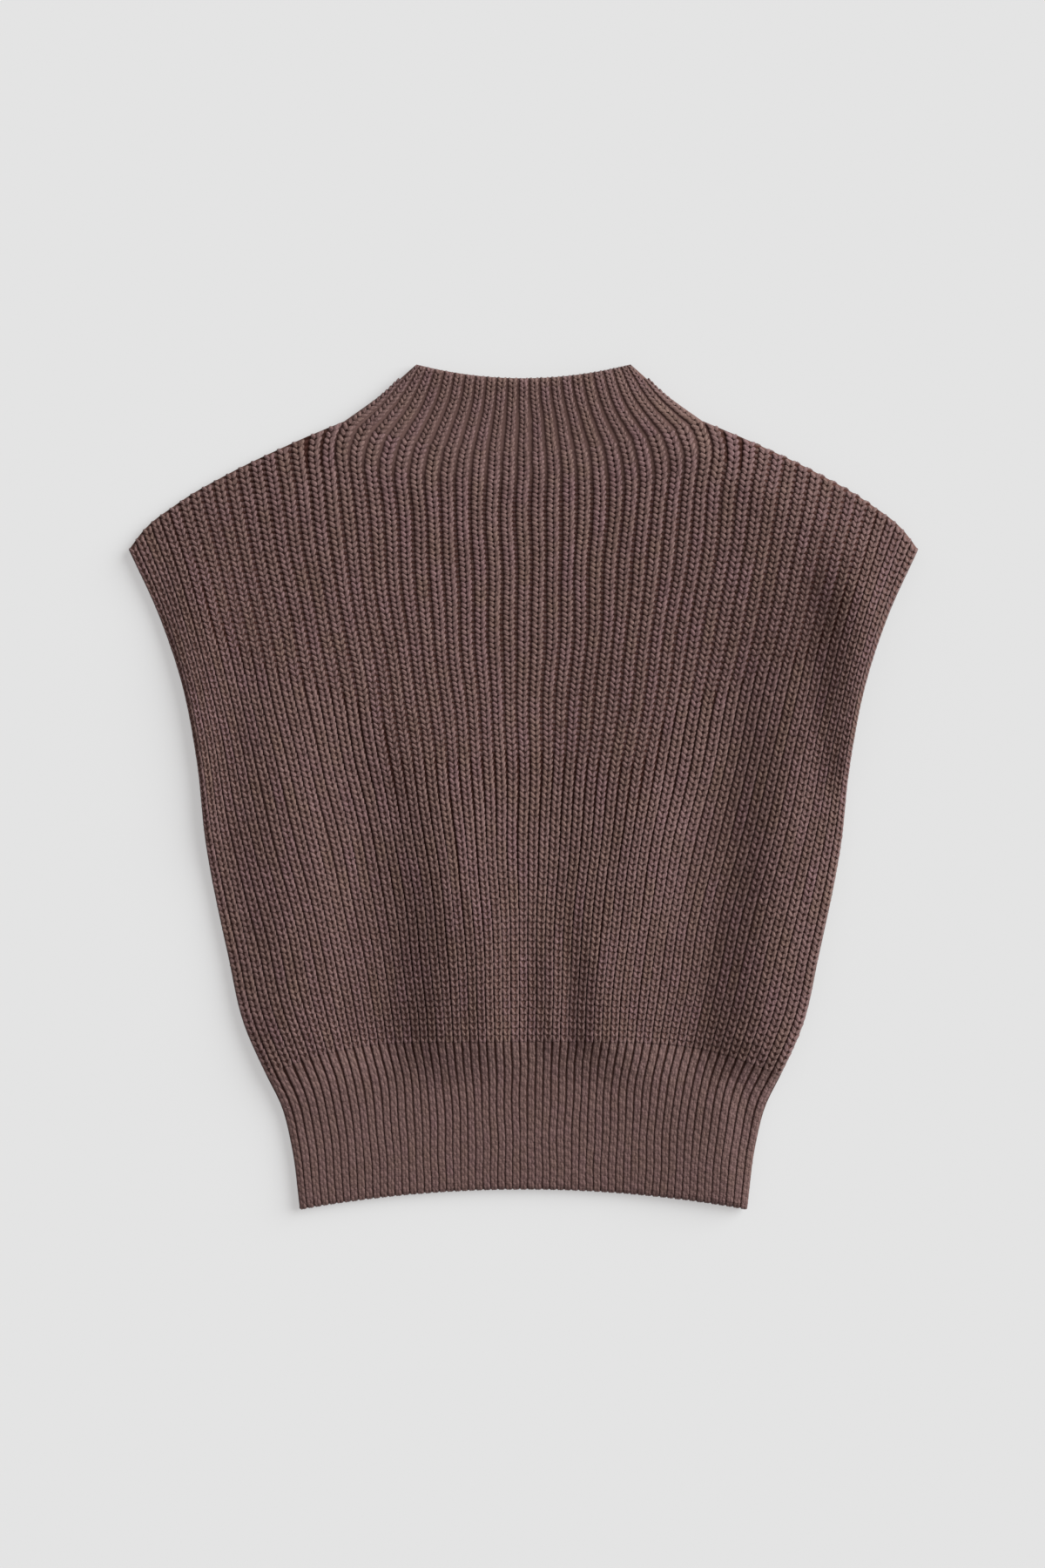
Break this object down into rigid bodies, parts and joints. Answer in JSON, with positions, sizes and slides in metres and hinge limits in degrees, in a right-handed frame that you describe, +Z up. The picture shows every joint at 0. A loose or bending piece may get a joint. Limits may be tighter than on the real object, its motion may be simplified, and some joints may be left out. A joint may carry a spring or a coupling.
{
  "type": "sleeveless half turtleneck sweater",
  "caption": "Sleeveless rib-knit sweater with a half turtleneck, wide shoulders, open armholes and a deep ribbed hem, lying flat on its back.",
  "frame": {"origin": "middle of the flat garment, on the surface that it lies on", "axes": "+Z up from the surface through the front of the garment, +Y towards the neck, X across it"},
  "size_m": [0.5172, 0.5533, 0.0265],
  "materials": {
    "body_knit": "matt brown wool in half-cardigan rib",
    "neck_knit": "matt brown wool in fine rib",
    "hem_knit": "matt brown wool in fine 1x1 rib"
  },
  "bodies": {
    "root": {"front_panel": "body_knit", "back_panel": "body_knit", "front_neck": "neck_knit", "back_neck": "neck_knit", "front_hem_rib": "hem_knit", "back_hem_rib": "hem_knit"}
  },
  "joints": []
}
